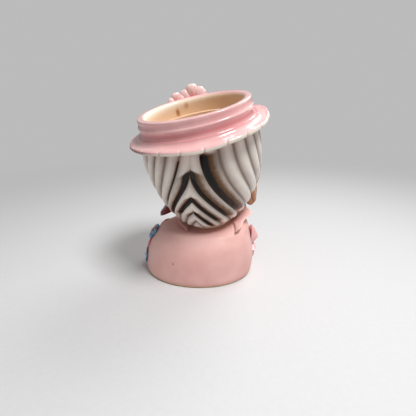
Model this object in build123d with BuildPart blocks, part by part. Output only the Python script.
"""Ceramic head planter: a hollow lady's head on a bust, with a hat whose crown is the open mouth.

Millimetres, +Z up. The face looks along -Y, and the figure's left hand is on +X.
The origin is the middle of the flat foot that the planter stands on.
"""

from build123d import *
import os
from math import asin, atan2, cos, degrees, exp, pi, radians, sin, sqrt

# Bust
BUST_WIDTH = 93.0
BUST_DEPTH = 76.0
BUST_HEIGHT = 46.0
BUST_WALL = 4.5
BUST_FLOOR = 5.0

# Neck, which stands on the bust, plugs into it with a spigot and runs up this far behind the chin
NECK_CENTRE = (-11.4, -6.5)
NECK_WIDTH = 38.0
NECK_SEAT = 3.0
NECK_BORE = 24.0
NECK_LENGTH = 21.0
SPIGOT_LENGTH = 5.0
SPIGOT_STEP = 2.5
SLIP_GAP = 0.2

# Head: how it leans and sways, and how high the hat sits above the neck seat
HEAD_LEAN = 10.4
HEAD_BACK = 13.3
HEAD_FORWARD = 5.0
HEAD_SWAY = 4.0
HAT_RISE = 78.0

# Face
FACE_LENGTH = 75.0
FACE_WIDTH = 66.0
FACE_DEPTH = 37.0
FACE_WALL = 5.0
NOSE_REACH = 7.0
SEAM_SETBACK = 4.0
SEAM_GAP = 0.1

# Hair: a fluted shell behind the seam, a fringe and two side curls
HAIR_LENGTH = 72.5
HAIR_WIDTH = 94.0
HAIR_DEPTH = 42.5
HAIR_WALL = 6.0
FLUTE_DEPTH = 1.7
FLUTE_ANGLE = 14.75
FLUTE_START = 0.67
FLUTE_RUN = 36.0
PARTING_DRIFT = 0.23
FLUTE_FADE = 0.25
HAIR_NARROWS = 32.0
NAPE_EASE = 0.4
FRINGE_TOP = 1.5
FRINGE_PARTING = 12.0
FRINGE_TEMPLE = 24.0
FRINGE_THICKNESS = 5.5
FRINGE_EASE = 0.2
FRINGE_TURN = 88.0
CURL_TOP = 25.0
CURL_TURN = 59.0
CURL_BOTTOM = 73.0
CURL_WIDTH = 14.0
CURL_EASE = 0.4
CURL_FLIP = 8.0

# Hat
CROWN_WIDTH = 84.4
CROWN_DEPTH = 77.0
CROWN_HEIGHT = 13.8
CROWN_TAPER = 3.2
CROWN_WALL = 5.2
CROWN_BAND = 6.8
BAND_RECESS = 0.8
RIDGE = 0.7
LIP_HEIGHT = 3.0
LIP_ROLL = 1.0
TONGUE_HEIGHT = 1.4
TONGUE_WIDTH = 1.6
BRIM_SEAT = 9.0
BRIM_ROOT = 4.2
BRIM_REACH = 10.0
BRIM_FALL = 3.8
BRIM_EDGE = 3.0
EDGING_ROLL = 1.8
EDGING_NOTCHES = 21
NOTCH_WIDTH = 0.8
NOTCH_DEPTH = 0.9

# Hat flowers, by their angle from the front of the crown
FLOWER_RISE = 10.0
EYE_SEAT = 0.6
SPRIG_SINK = 1.5
BLOSSOM_ANGLE = 8.0
BLOSSOM_REACH = 12.5
BLOSSOM_PETALS = 6
BUD_ANGLE = 31.0
BUD_REACH = 7.0
BUD_PETALS = 5

# Collar
COLLAR_HEIGHT = 5.0
COLLAR_FOOT = 1.4
COLLAR_WALL = 3.0
COLLAR_EASE = 1.5
COLLAR_FLARE = 6.0
COLLAR_OPENING = 18.0
COLLAR_BACK = 22.0

# Corsage on the figure's left shoulder: (angle round the bust, height on it, reach of its petals)
CORSAGE_FLOWERS = (("upper", 12.0, 33.5, 7.0), ("middle", 350.0, 27.0, 6.0), ("lower", 4.0, 14.0, 7.0))
CORSAGE_LEAVES = ((13.0, 24.5, 70.0), (350.0, 37.0, 25.0), (344.0, 16.0, -20.0))
LEAF_THICKNESS = 1.2
CORSAGE_PETALS = 5
LEAF_LENGTH = 13.0
LEAF_WIDTH = 6.0

# Bow on the figure's right breast
BOW_ANGLE = 217.0
BOW_RISE = 25.0
BOW_THICKNESS = 4.0
BOW_LOOP = 20.0
BOW_LOOP_END = 17.0
BOW_TAIL = 21.0
BOW_TAIL_END = 11.0
BOW_TAIL_SPLAY = 34.0
BOW_WAIST = 5.0
BOW_KNOT = 9.0
BOW_SINK = 14.0
SPRIG_FILLET = 0.7

# How the forms swell: (share of the length, share of the width or depth)
BUST_SWELL = ((0, 0.965), (0.06, 0.99), (0.25, 1), (0.48, 0.995), (0.66, 0.95), (0.82, 0.83))
FACE_SWELL = ((0, 1.12), (0.25, 1.06), (0.5, 0.98), (0.66, 0.9), (0.8, 0.75), (0.9, 0.56), (0.96, 0.38), (1, 0.16))
FACE_FRONT = ((0, 0.95), (0.15, 1), (0.35, 1), (0.5, 0.98), (0.7, 0.97), (0.86, 0.95), (0.95, 0.92), (1, 0.86))
JAW_REAR = ((0, 0), (0.66, 0), (0.75, 0.02), (0.84, 0.12), (0.92, 0.32), (1, 0.64))
HAIR_SWELL = ((0, 0.91), (0.07, 0.965), (0.25, 1), (0.45, 0.985), (0.62, 0.935), (0.78, 0.845), (0.9, 0.74), (1, 0.62))
HAIR_REAR = ((0, 0.87), (0.07, 0.94), (0.25, 1), (0.45, 0.975), (0.62, 0.905), (0.78, 0.83), (0.9, 0.77), (1, 0.72))
CURL_SWELL = ((0, 0.5), (0.2, 0.85), (0.5, 1), (0.75, 0.95), (0.9, 0.68), (1, 0.35))
WELL_SWELL = ((0, 1), (0.3, 1), (0.6, 0.9), (0.8, 0.66), (1, 0.44))

FACE_STATIONS = 20
FACE_STEPS = 32
HAIR_STATIONS = 18
HAIR_STEPS = 72
INSIDE_STEPS = 24
WELL_STATIONS = 7
FRINGE_SECTIONS = 13
FRINGE_STEPS = 6
CURL_SECTIONS = 9

LEFT = 1
RIGHT = -1


def swell(shape, share):
    """Return a form's value at a share of its length, on a smooth curve through its points."""
    first = max(i for i in range(len(shape) - 1) if i == 0 or share >= shape[i][0])
    (x0, y0), (x1, y1) = shape[first], shape[first + 1]
    before = shape[max(first - 1, 0)]
    after = shape[min(first + 2, len(shape) - 1)]
    slope0 = (y1 - before[1]) / (x1 - before[0])
    slope1 = (after[1] - y0) / (after[0] - x0)
    step = x1 - x0
    u = (share - x0) / step
    ends = y0 * (1 + 2 * u) * (1 - u) ** 2 + y1 * u * u * (3 - 2 * u)
    return ends + step * (slope0 * u * (1 - u) ** 2 - slope1 * u * u * (1 - u))


def hump(x, drop, at_x, at_drop, wide, tall):
    """Return a smooth swelling, one at its own middle and near nothing beyond its width."""
    return exp(-(((x - at_x) / wide) ** 2) - ((drop - at_drop) / tall) ** 2)


# Planes of the leaning head: its own X is the figure's left, its own Y the back of the head
head_plane = Plane(
    Location(
        (NECK_CENTRE[0], NECK_CENTRE[1] - HEAD_FORWARD, BUST_HEIGHT),
        (-HEAD_BACK, HEAD_LEAN, 0),
    )
)
hat_plane = Plane(
    head_plane.offset(HAT_RISE).origin - head_plane.x_dir * HEAD_SWAY,
    x_dir=head_plane.x_dir,
    z_dir=head_plane.z_dir,
)
neck_middle = (0, HEAD_FORWARD)
neck_rise = HAT_RISE - FACE_LENGTH + NECK_LENGTH


def upright_plane(setback):
    """Return the plane that stands across the head this far behind its axis, facing the back."""
    origin = hat_plane.from_local_coords(Vector(0, setback, 0))
    return Plane(origin, x_dir=hat_plane.x_dir, z_dir=hat_plane.y_dir)


seam_plane = upright_plane(-SEAM_SETBACK)


def sway(drop):
    """Return how far the head's middle is from under the middle of the hat, at a drop."""
    return HEAD_SWAY * drop / HAT_RISE


def below_hat(drop):
    """Return the plane that lies this far under the hat seat, swayed towards the neck."""
    middle = hat_plane.from_local_coords(Vector(sway(drop), 0, -drop))
    return Plane(middle, x_dir=hat_plane.x_dir, z_dir=hat_plane.z_dir)


def face_relief(x, drop):
    """Return how far the face stands forward of its plain swell: nose, lids, cheeks, lips and chin."""
    third = FACE_LENGTH / 3
    eye_drop, nose_drop, lip_drop, chin_drop = 1.3 * third, 1.87 * third, 2.3 * third, 2.8 * third
    eye_side = 0.19 * FACE_WIDTH
    cheek_side = 0.27 * FACE_WIDTH
    side = abs(x)
    tip = hump(x, drop, 0, nose_drop, 4.0, 4.2)
    bridge = 0.5 * hump(x, drop, 0, nose_drop - 0.35 * third, 2.8, 6.5)
    socket = -0.45 * hump(side, drop, eye_side, eye_drop - 1, 7.0, 4.5)
    lid = 0.3 * hump(side, drop, eye_side, eye_drop, 5.0, 3.0)
    cheek = 0.22 * hump(side, drop, cheek_side, nose_drop, 8.0, 8.0)
    lips = 0.26 * hump(x, drop, 0, lip_drop, 7.0, 3.4)
    chin = 0.3 * hump(x, drop, 0, chin_drop, 7.0, 5.0)
    return NOSE_REACH * (tip + bridge + socket + lid + cheek + lips + chin)


def face_measures(drop):
    """Return the face's half width, its front and the line where it ends behind, at a drop."""
    share = drop / FACE_LENGTH
    half = FACE_WIDTH / 2 * swell(FACE_SWELL, share)
    front = FACE_DEPTH * swell(FACE_FRONT, share)
    rear = SEAM_SETBACK + SEAM_GAP + FACE_DEPTH * max(swell(JAW_REAR, share), 0)
    return half, front, rear


def face_turn(step):
    """Return the turn of a step along the face's outline, with the steps closer together in front."""
    share = 2 * step / FACE_STEPS - 1
    return pi / 2 * share * (0.55 + 0.45 * abs(share))


def face_point(turn, drop, relief=True):
    """Return a point of the face in the head's own X and Y, by its turn from straight ahead."""
    half, front, rear = face_measures(drop)
    x = half * sin(turn)
    forward = (front - rear) * cos(turn)
    if relief:
        forward += face_relief(x, drop) * cos(turn)
    return x, -rear - forward


def flute(turn, drop):
    """Return the share of a flute's depth that is cut away: ribs part at the back and run outwards."""
    aside = degrees(turn) - PARTING_DRIFT * drop * (1 - (2 * turn / pi) ** 2)
    wave = sin(pi * (abs(aside) / FLUTE_ANGLE - (drop / FLUTE_RUN) ** 2 - FLUTE_START))
    fade = min(1, (1 - drop / HAIR_LENGTH) / FLUTE_FADE)
    return (1 - sqrt(wave * wave + 0.04)) * fade


def hair_measures(drop):
    """Return the hair's half width and how far it reaches behind the head's axis, at a drop."""
    share = drop / HAIR_LENGTH
    return HAIR_WIDTH / 2 * swell(HAIR_SWELL, share), HAIR_DEPTH * swell(HAIR_REAR, share)


def hair_point(turn, drop):
    """Return a point of the fluted hair in the head's own X and Y, by its turn from the back."""
    half, rear = hair_measures(drop)
    cut = FLUTE_DEPTH * flute(turn, drop)
    return (half - cut) * sin(turn), -SEAM_SETBACK + (rear - cut + SEAM_SETBACK) * cos(turn)


def well_half(drop):
    """Return half the width of the head's hollow where the face and the hair meet, at a drop."""
    return (FACE_WIDTH / 2 - FACE_WALL) * swell(WELL_SWELL, drop / FACE_LENGTH)


def hair_inside(turn, drop):
    """Return a point inside the hair shell: a wide hollow above, which closes in on the neck below."""
    half, rear = hair_measures(drop)
    bulge = 1 - (1 - cos(turn)) ** 2
    wide = well_half(drop) + (half - HAIR_WALL - well_half(drop)) * bulge
    hollow = Vector(wide * sin(turn), -SEAM_SETBACK + (rear - HAIR_WALL + SEAM_SETBACK) * cos(turn))
    round_neck = NECK_WIDTH / 2 + NAPE_EASE
    neck_turn = turn * (1 + asin((HEAD_FORWARD + SEAM_SETBACK) / round_neck) / (pi / 2))
    neck_side = HEAD_SWAY - sway(drop)
    nape = Vector(neck_side + round_neck * sin(neck_turn), HEAD_FORWARD + round_neck * cos(neck_turn))
    share = (drop - HAIR_NARROWS) / (HAT_RISE - neck_rise - HAIR_NARROWS)
    share = min(max(share, 0), 1)
    place = hollow + (nape - hollow) * (share * share * (3 - 2 * share))
    return place.X, place.Y


def bust_point(angle, height):
    """Return a point of the bust's outside by its angle round from the figure's left and its height."""
    share = height / BUST_HEIGHT
    size = swell(BUST_SWELL, share)
    x = NECK_CENTRE[0] * share ** 2 + BUST_WIDTH / 2 * size * cos(radians(angle))
    y = NECK_CENTRE[1] * share ** 2 + BUST_DEPTH / 2 * size * sin(radians(angle))
    return Vector(x, y, height)


def bust_seat(angle, height):
    """Return the plane that lies on the bust's outside there, facing out, with its Y up the bust."""
    along = bust_point(angle + 1, height) - bust_point(angle - 1, height)
    rise = bust_point(angle, height + 1) - bust_point(angle, height - 1)
    return Plane(bust_point(angle, height), x_dir=along, z_dir=along.cross(rise))


def crown_seat(angle):
    """Return the plane on the crown's outside at an angle from its front towards the figure's left."""
    x = CROWN_WIDTH / 2 * sin(radians(angle))
    y = -CROWN_DEPTH / 2 * cos(radians(angle))
    outward = (x / CROWN_WIDTH ** 2, y / CROWN_DEPTH ** 2, 0)
    origin = hat_plane.from_local_coords(Vector(x, y, BRIM_ROOT + FLOWER_RISE))
    facing = hat_plane.from_local_coords(Vector(outward)) - hat_plane.origin
    return Plane(origin, x_dir=hat_plane.z_dir.cross(facing), z_dir=facing)


def rosette(seat, reach, petals):
    """Return a flower of plump round petals, sunk a little in its seat so that it can be trimmed to it."""
    plump = petal_half_width(reach, petals)
    petal_middle = seat.origin + seat.y_dir * 0.56 * reach + seat.z_dir * (plump - SPRIG_SINK)
    petal_plane = Plane(petal_middle, x_dir=seat.y_dir, z_dir=seat.x_dir)
    with BuildPart() as petal:
        with BuildSketch(petal_plane):
            with BuildLine():
                back = EllipticalCenterArc((0, 0), 0.44 * reach, plump, 0, arc_size=180)
                Line(back @ 1, back @ 0)
            make_face()
        revolve(axis=Axis(petal_middle, seat.y_dir))
    with BuildPart() as flower:
        with BuildSketch(seat.offset(eye_height(reach, petals))):
            Circle(0.34 * reach)
        extrude(amount=-eye_height(reach, petals) - SPRIG_SINK)
        for turn in range(petals):
            add(petal.part.rotate(Axis(seat.origin, seat.z_dir), 360 * turn / petals))
    return flower


def petal_half_width(reach, petals):
    """Return half the width of a petal, so that neighbours just merge."""
    return 0.72 * reach * sin(pi / petals)


def eye_height(reach, petals):
    """Return how high the middle of a flower stands off its seat."""
    return (1 + EYE_SEAT) * petal_half_width(reach, petals) - SPRIG_SINK


def eye_of(seat, reach, petals, flower):
    """Return the domed eye of a flower, which sits in the middle of its petals."""
    with BuildPart() as eye:
        with Locations(seat.offset(eye_height(reach, petals))):
            Sphere(0.24 * reach)
        add(flower.part, mode=Mode.SUBTRACT)
        split(bisect_by=seat, keep=Keep.TOP)
    return eye


# Forms that shape more than one piece

with BuildPart() as neck_form:
    with BuildSketch(head_plane):
        with Locations(neck_middle):
            Circle(NECK_WIDTH / 2)
    extrude(amount=neck_rise)

with BuildPart() as bust_form:
    for share, size in BUST_SWELL:
        with BuildSketch(Plane.XY.offset(BUST_HEIGHT * share)):
            with Locations((NECK_CENTRE[0] * share ** 2, NECK_CENTRE[1] * share ** 2)):
                Ellipse(BUST_WIDTH / 2 * size, BUST_DEPTH / 2 * size)
    with BuildSketch(head_plane):
        with Locations(neck_middle):
            Circle(NECK_WIDTH / 2 + NECK_SEAT)
    loft()

with BuildPart() as face_form:
    for station in range(FACE_STATIONS):
        drop = FACE_LENGTH * station / (FACE_STATIONS - 1)
        outline = [face_point(face_turn(step), drop) for step in range(FACE_STEPS + 1)]
        with BuildSketch(below_hat(drop)):
            with BuildLine():
                Spline(outline)
                Line(outline[-1], outline[0])
            make_face()
    loft()

with BuildPart() as head_well:
    for station in range(WELL_STATIONS):
        share = station / (WELL_STATIONS - 1)
        drop = FACE_LENGTH * share
        with BuildSketch(below_hat(drop)):
            with Locations((0, HEAD_FORWARD * share ** 2)):
                Ellipse(
                    max(well_half(drop), NECK_BORE / 2),
                    max((FACE_DEPTH - FACE_WALL - 1) * swell(WELL_SWELL, share), NECK_BORE / 2),
                )
    loft()
    with BuildSketch(head_plane):
        with Locations(neck_middle):
            Circle(NECK_BORE / 2)
    extrude(amount=HAT_RISE - FACE_LENGTH + SPIGOT_LENGTH, both=True)

# Bust

with BuildPart() as bust_shell:
    add(bust_form.part)
    for share, size in BUST_SWELL:
        height = BUST_FLOOR + (BUST_HEIGHT - BUST_FLOOR - BUST_WALL) * share
        with BuildSketch(Plane.XY.offset(height)):
            with Locations((NECK_CENTRE[0] * share ** 2, NECK_CENTRE[1] * share ** 2)):
                Ellipse(BUST_WIDTH / 2 * size - BUST_WALL, BUST_DEPTH / 2 * size - BUST_WALL)
    loft(mode=Mode.SUBTRACT)
    with BuildSketch(head_plane):
        with Locations(neck_middle):
            Circle(NECK_WIDTH / 2 - SPIGOT_STEP + SLIP_GAP)
    extrude(amount=-BUST_HEIGHT / 4, mode=Mode.SUBTRACT)

# Face and neck

with BuildPart() as face_shell:
    add(face_form.part)
    add(neck_form.part)
    with BuildSketch(head_plane):
        with Locations(neck_middle):
            Circle(NECK_WIDTH / 2 - SPIGOT_STEP)
    extrude(amount=-SPIGOT_LENGTH)
    add(head_well.part, mode=Mode.SUBTRACT)

# Hair shell

with BuildPart() as hair_shell:
    for station in range(HAIR_STATIONS):
        drop = HAIR_LENGTH * station / (HAIR_STATIONS - 1)
        outline = [hair_point(pi * (step / HAIR_STEPS - 0.5), drop) for step in range(HAIR_STEPS + 1)]
        hollow = [hair_inside(pi * (0.5 - step / INSIDE_STEPS), drop) for step in range(INSIDE_STEPS + 1)]
        with BuildSketch(below_hat(drop)):
            with BuildLine():
                Spline(outline)
                Line(outline[-1], hollow[0])
                Spline(hollow)
                Line(hollow[-1], outline[0])
            make_face()
    loft()

# Hat: brim, crown and the notched edging, all swept round the same oval

with BuildSketch(hat_plane) as hat_oval:
    Ellipse(CROWN_WIDTH / 2, CROWN_DEPTH / 2)
hat_path = hat_oval.sketch.face().outer_wire()
profile_plane = Plane(
    hat_plane.from_local_coords(Vector(CROWN_WIDTH / 2, 0, 0)),
    x_dir=hat_plane.x_dir,
    z_dir=-hat_plane.y_dir,
)
brim_top = BRIM_ROOT - BRIM_FALL
brim_under = brim_top - BRIM_EDGE
tongue_middle = (-CROWN_WALL / 2, BRIM_ROOT)

with BuildPart() as hat_brim:
    with BuildSketch(profile_plane):
        with BuildLine():
            underside = Polyline((-BRIM_SEAT, BRIM_ROOT), (-BRIM_SEAT, 0), (-BRIM_EDGE / 2, 0))
            Line(underside @ 1, (BRIM_REACH, brim_under))
            edge = Line((BRIM_REACH, brim_under), (BRIM_REACH, brim_top))
            root = (CROWN_TAPER, BRIM_ROOT)
            ThreePointArc(edge @ 1, (0.54 * BRIM_REACH, brim_top + 0.32 * BRIM_FALL), root)
            Line(root, underside @ 0)
        make_face()
        with Locations(tongue_middle):
            Rectangle(TONGUE_WIDTH, 2 * TONGUE_HEIGHT)
    sweep(path=hat_path)

with BuildPart() as hat_crown:
    with BuildSketch(profile_plane) as crown_profile:
        crown_top = BRIM_ROOT + CROWN_HEIGHT
        band_top = BRIM_ROOT + CROWN_BAND
        with BuildLine():
            Polyline(
                (-CROWN_WALL, BRIM_ROOT),
                (CROWN_TAPER - BAND_RECESS, BRIM_ROOT),
                (CROWN_TAPER / 2 - BAND_RECESS, band_top - RIDGE),
                (CROWN_TAPER / 2 + RIDGE, band_top),
                (CROWN_TAPER / 2, band_top + RIDGE),
                (0, crown_top - LIP_HEIGHT - LIP_ROLL),
                (LIP_ROLL, crown_top - LIP_HEIGHT),
                (LIP_ROLL, crown_top),
                (-CROWN_WALL, crown_top),
                close=True,
            )
        make_face()
        lip_corners = crown_profile.vertices().group_by(Axis(profile_plane.origin, hat_plane.z_dir))[-1]
        fillet(lip_corners, 0.7 * LIP_HEIGHT)
        with Locations(tongue_middle):
            Rectangle(
                TONGUE_WIDTH + 2 * SLIP_GAP, 2 * (TONGUE_HEIGHT + SLIP_GAP), mode=Mode.SUBTRACT
            )
    sweep(path=hat_path)

with BuildPart() as brim_edging:
    with BuildSketch(profile_plane):
        with BuildLine():
            chord = Line((BRIM_REACH, brim_under), (BRIM_REACH, brim_top))
            ThreePointArc(chord @ 1, (BRIM_REACH + EDGING_ROLL, (brim_top + brim_under) / 2), chord @ 0)
        make_face()
    sweep(path=hat_path)
    with BuildSketch(hat_plane.offset(brim_under)):
        for notch in range(EDGING_NOTCHES):
            place = hat_plane.to_local_coords(hat_path @ (notch / EDGING_NOTCHES))
            heading = hat_plane.to_local_coords(hat_plane.origin + hat_path % (notch / EDGING_NOTCHES))
            outward = heading.cross(Vector(0, 0, 1))
            groove = place + outward * (BRIM_REACH + EDGING_ROLL)
            with Locations(Location((groove.X, groove.Y), degrees(atan2(heading.Y, heading.X)))):
                Rectangle(NOTCH_WIDTH, 2 * NOTCH_DEPTH)
    extrude(amount=BRIM_EDGE, mode=Mode.SUBTRACT)

finished = {
    "bust_shell": bust_shell,
    "face_shell": face_shell,
    "hair_shell": hair_shell,
    "hat_brim": hat_brim,
    "hat_crown": hat_crown,
    "brim_edging": brim_edging,
}

# Hat flowers

for name, angle, reach, petals in (
    ("blossom", BLOSSOM_ANGLE, BLOSSOM_REACH, BLOSSOM_PETALS),
    ("bud", BUD_ANGLE, BUD_REACH, BUD_PETALS),
):
    seat = crown_seat(angle)
    flower = rosette(seat, reach, petals)
    with BuildPart() as petals_piece:
        add(flower.part)
        add(hat_crown.part, mode=Mode.SUBTRACT)
        add(hat_brim.part, mode=Mode.SUBTRACT)
    finished["hat_" + name + "_petals"] = petals_piece
    finished["hat_" + name + "_eye"] = eye_of(seat, reach, petals, flower)

# Fringe and side curls


def forehead_reach(angle, drop):
    """Return how far the plain forehead is from the middle of the seam, at an angle from straight ahead."""
    half, front, rear = face_measures(drop)
    return 1 / sqrt((sin(angle) / half) ** 2 + (cos(angle) / (front - rear)) ** 2)


def fringe(side):
    """Return the front hair on one side, a thick curtain swept from the parting to the temple."""
    with BuildPart() as curtain:
        for section in range(FRINGE_SECTIONS):
            share = section / (FRINGE_SECTIONS - 1)
            angle = radians(FRINGE_TURN) * (0.01 + 0.99 * share)
            hairline = FRINGE_PARTING + (FRINGE_TEMPLE - FRINGE_PARTING) * share ** 1.3
            inner = []
            outer = []
            for step in range(FRINGE_STEPS + 1):
                down = step / FRINGE_STEPS
                drop = FRINGE_TOP + (hairline - FRINGE_TOP) * down
                skin = forehead_reach(angle, drop) + side * sway(drop) * sin(angle) + FRINGE_EASE
                plump = FRINGE_THICKNESS * (0.25 + 0.75 * sin(pi * (0.12 + 0.8 * down)))
                inner.append((skin, -drop))
                outer.append((skin + plump, -drop))
            outer.reverse()
            radial = hat_plane.x_dir * side * sin(angle) - hat_plane.y_dir * cos(angle)
            middle = seam_plane.origin
            with BuildSketch(Plane(middle, x_dir=radial, z_dir=radial.cross(hat_plane.z_dir))):
                with BuildLine():
                    Spline(inner)
                    Line(inner[-1], outer[0])
                    Spline(outer)
                    Line(outer[-1], inner[0])
                make_face()
        loft()
    return curtain


def side_curl(side):
    """Return the lock beside the cheek, which hangs at the seam and flips outwards at its end."""
    with BuildPart() as curl:
        for section in range(CURL_SECTIONS):
            share = section / (CURL_SECTIONS - 1)
            half = CURL_WIDTH / 2 * swell(CURL_SWELL, share)
            drop = CURL_TOP + (CURL_BOTTOM - CURL_TOP) * share
            cheek = face_measures(min(drop, CURL_TURN))[0]
            spread = cheek + CURL_EASE + half + CURL_FLIP * share ** 6
            with BuildSketch(below_hat(drop)):
                with Locations((side * spread, -SEAM_SETBACK - 0.8 * half)):
                    Ellipse(half, half)
        loft()
        split(bisect_by=seam_plane, keep=Keep.BOTTOM)
    return curl


finished["fringe_left"] = fringe(LEFT)
finished["fringe_right"] = fringe(RIGHT)
finished["side_curl_left"] = side_curl(LEFT)
finished["side_curl_right"] = side_curl(RIGHT)

# Collar


def collar_wing(side):
    """Return one wing of the standing collar, which flares out from the neck behind the jaw."""
    jaw_behind = face_measures(min(HAT_RISE - COLLAR_HEIGHT, FACE_LENGTH))[2]
    front = COLLAR_EASE - jaw_behind
    with BuildPart() as wing:
        for foot, wall, mode in ((COLLAR_FOOT, COLLAR_WALL, Mode.ADD), (0, 0, Mode.SUBTRACT)):
            for height, spread in ((0, foot), (COLLAR_HEIGHT, wall + COLLAR_FLARE)):
                with BuildSketch(head_plane.offset(height)):
                    with Locations(neck_middle):
                        Circle(NECK_WIDTH / 2 + COLLAR_EASE + spread)
            loft(ruled=True, mode=mode)
        with BuildSketch(head_plane):
            with BuildLine():
                Polyline(
                    (side * COLLAR_OPENING, front),
                    (side * BUST_WIDTH, front),
                    (side * BUST_WIDTH, COLLAR_BACK),
                    (side * COLLAR_OPENING, COLLAR_BACK),
                    close=True,
                )
            make_face()
        extrude(amount=COLLAR_HEIGHT, mode=Mode.INTERSECT)
    return wing


finished["collar_left"] = collar_wing(LEFT)
finished["collar_right"] = collar_wing(RIGHT)

# Corsage

for name, angle, height, reach in CORSAGE_FLOWERS:
    seat = bust_seat(angle, height)
    flower = rosette(seat, reach, CORSAGE_PETALS)
    with BuildPart() as petals_piece:
        add(flower.part)
        add(bust_form.part, mode=Mode.SUBTRACT)
    finished["corsage_" + name + "_petals"] = petals_piece
    finished["corsage_" + name + "_eye"] = eye_of(seat, reach, CORSAGE_PETALS, flower)

with BuildPart() as corsage_leaves:
    for angle, height, turn in CORSAGE_LEAVES:
        seat = bust_seat(angle, height).rotated((0, 0, turn))
        with BuildSketch(seat.offset(LEAF_THICKNESS)):
            with BuildLine():
                ThreePointArc((-LEAF_LENGTH / 2, 0), (0, LEAF_WIDTH / 2), (LEAF_LENGTH / 2, 0))
                ThreePointArc((LEAF_LENGTH / 2, 0), (0, -LEAF_WIDTH / 2), (-LEAF_LENGTH / 2, 0))
            make_face()
        extrude(amount=-BUST_WALL)
    add(bust_form.part, mode=Mode.SUBTRACT)
    for petals_name in ("corsage_upper_petals", "corsage_middle_petals", "corsage_lower_petals"):
        add(finished[petals_name].part, mode=Mode.SUBTRACT)
finished["corsage_leaves"] = corsage_leaves

# Bow

bow_seat = bust_seat(BOW_ANGLE, BOW_RISE)
bow_face = bow_seat.offset(BOW_THICKNESS)

with BuildPart() as bow_knot:
    with BuildSketch(bow_face.offset(BOW_THICKNESS / 2)):
        Ellipse(BOW_KNOT / 2, 0.42 * BOW_KNOT)
    extrude(amount=-BOW_SINK)
    knot_front = bow_knot.faces().sort_by(Axis(bow_seat.origin, bow_seat.z_dir))[-1]
    fillet(knot_front.edges(), BOW_THICKNESS / 3)
    add(bust_form.part, mode=Mode.SUBTRACT)
finished["bow_knot"] = bow_knot


def bow_piece(outline):
    """Return a flat part of the bow with this outline, trimmed to the bust and to the knot."""
    with BuildPart() as piece:
        with BuildSketch(bow_face) as shape:
            with BuildLine():
                Polyline(*outline, close=True)
            make_face()
            fillet(shape.vertices(), BOW_THICKNESS / 4)
        extrude(amount=-BOW_SINK)
        front = piece.faces().sort_by(Axis(bow_seat.origin, bow_seat.z_dir))[-1]
        fillet(front.edges(), SPRIG_FILLET)
        add(bust_form.part, mode=Mode.SUBTRACT)
        add(bow_knot.part, mode=Mode.SUBTRACT)
    return piece


for name, side in (("inner", LEFT), ("outer", RIGHT)):
    finished["bow_loop_" + name] = bow_piece(
        (
            (0, BOW_WAIST / 2),
            (side * 0.9 * BOW_LOOP, 0.62 * BOW_LOOP_END),
            (side * BOW_LOOP, 0),
            (side * 0.85 * BOW_LOOP, -0.38 * BOW_LOOP_END),
            (0, -BOW_WAIST / 2),
        )
    )
    splay = radians(BOW_TAIL_SPLAY)
    down = Vector(side * sin(splay), -cos(splay))
    across = Vector(cos(splay), side * sin(splay))
    tail = (
        down * BOW_KNOT * 0.3 - across * BOW_WAIST / 2,
        down * BOW_TAIL - across * BOW_TAIL_END / 2,
        down * BOW_TAIL * 0.85,
        down * BOW_TAIL + across * BOW_TAIL_END / 2,
        down * BOW_KNOT * 0.3 + across * BOW_WAIST / 2,
    )
    with BuildPart() as tail_piece:
        add(bow_piece([(point.X, point.Y) for point in tail]).part)
        split(bisect_by=Plane(bow_seat.origin, z_dir=bow_seat.x_dir * side), keep=Keep.TOP)
        add(finished["bow_loop_" + name].part, mode=Mode.SUBTRACT)
    finished["bow_tail_" + name] = tail_piece

os.makedirs("parts", exist_ok=True)
for name, built in finished.items():
    built.part.label = name
    export_step(built.part, "parts/" + name + ".step")
